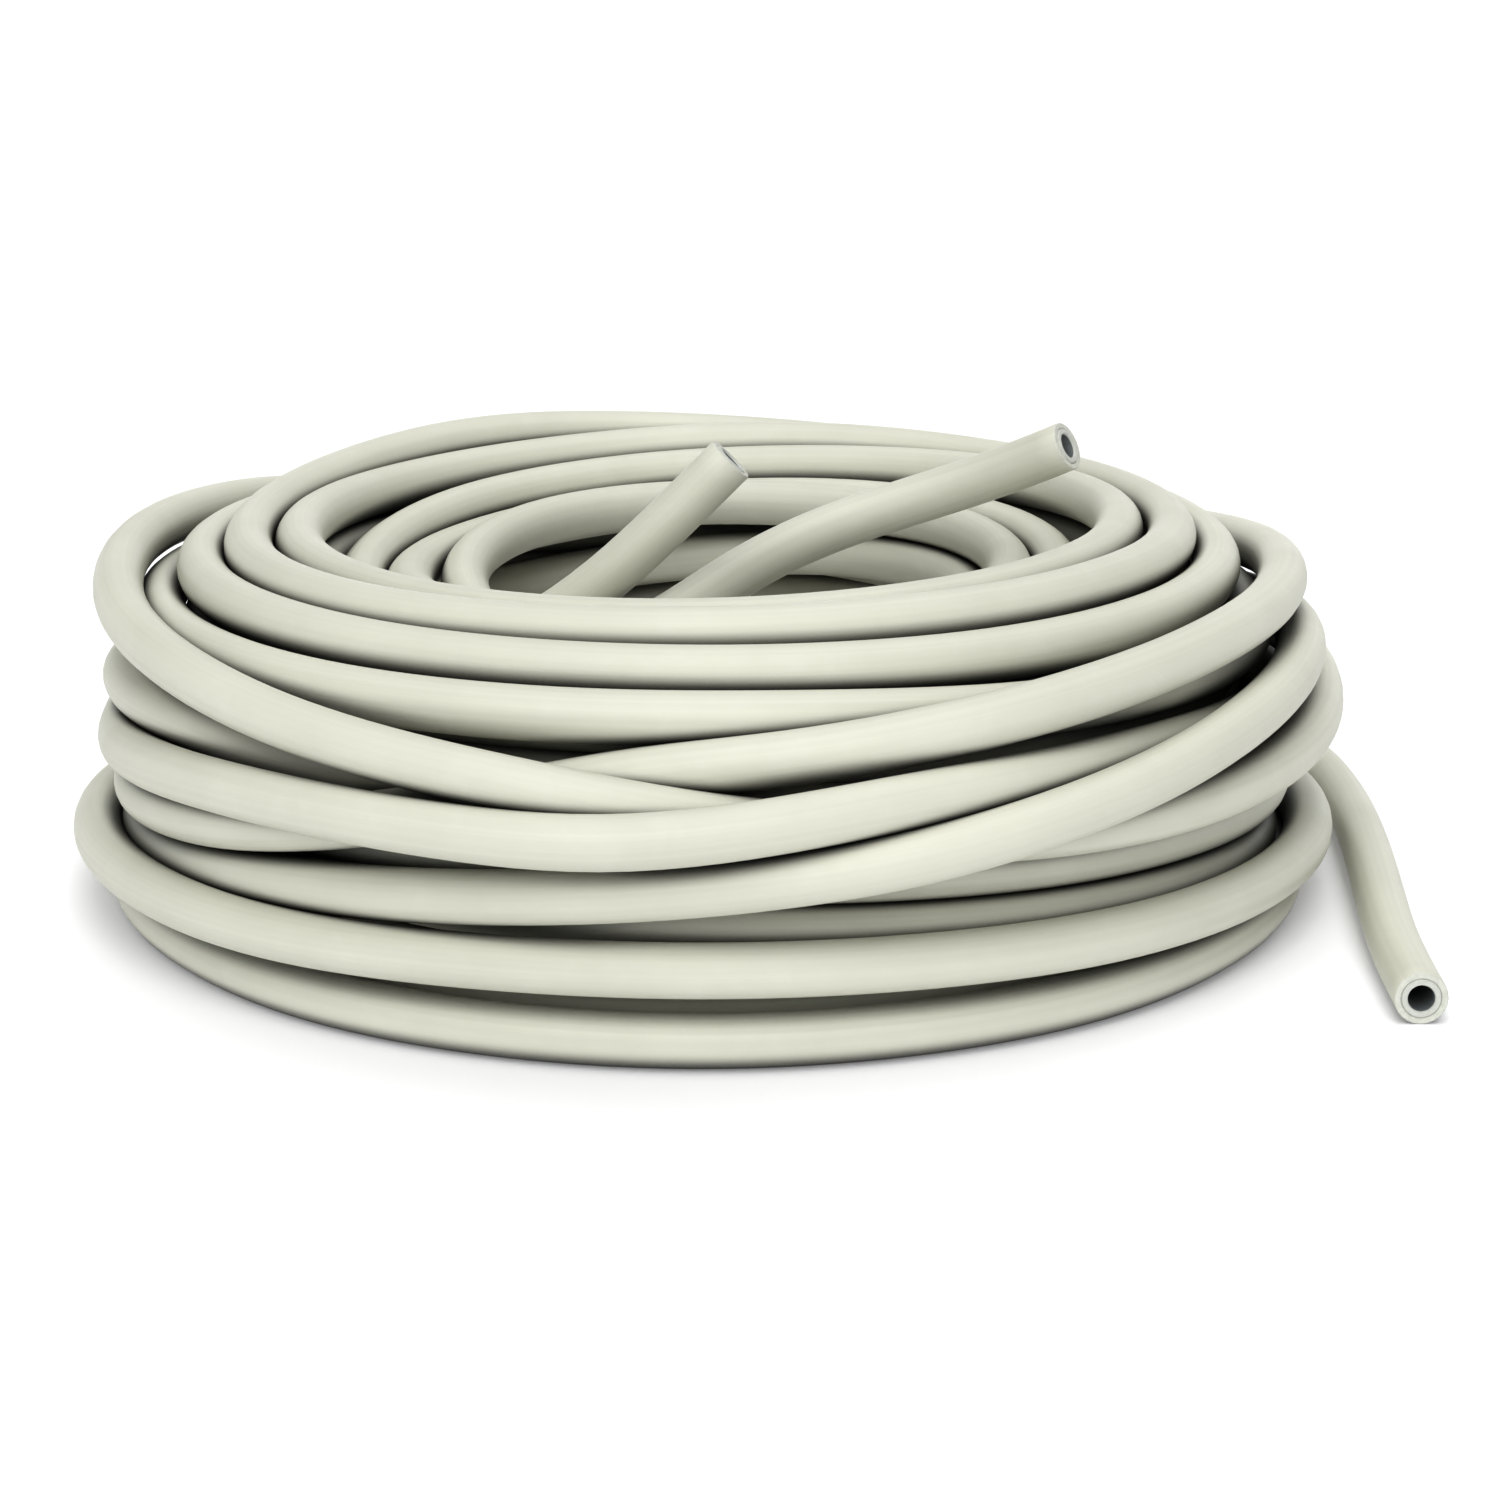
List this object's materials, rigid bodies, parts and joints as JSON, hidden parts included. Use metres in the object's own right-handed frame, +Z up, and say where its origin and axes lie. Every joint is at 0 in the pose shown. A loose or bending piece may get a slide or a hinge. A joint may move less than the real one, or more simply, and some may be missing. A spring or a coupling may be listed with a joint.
{
  "type": "vacuum hose",
  "caption": "Loose round coil of plain, smooth, thick-walled vacuum hose with a pale outer cover, a thin lining and bare cut ends.",
  "frame": {"origin": "centre of the footprint's bounding box, on the surface that the coil lies on", "axes": "+Z up; -Y is the front, from which the outer cut end is at the right"},
  "size_m": [0.3523, 0.3633, 0.1215],
  "materials": {
    "cover": "satin, pale greenish grey",
    "lining": "matte, bluish white"
  },
  "bodies": {
    "root": {"lower_coil": "cover", "upper_coil": "cover", "hose_a_inner_lead": "cover", "hose_a_inner_end_cover": "cover", "hose_a_inner_end_lining": "lining", "hose_a_outer_lead": "cover", "hose_a_outer_end_cover": "cover", "hose_a_outer_end_lining": "lining", "hose_b_inner_lead": "cover", "hose_b_inner_end_cover": "cover", "hose_b_inner_end_lining": "lining", "hose_b_outer_lead": "cover", "hose_b_outer_end_cover": "cover", "hose_b_outer_end_lining": "lining"}
  },
  "joints": []
}
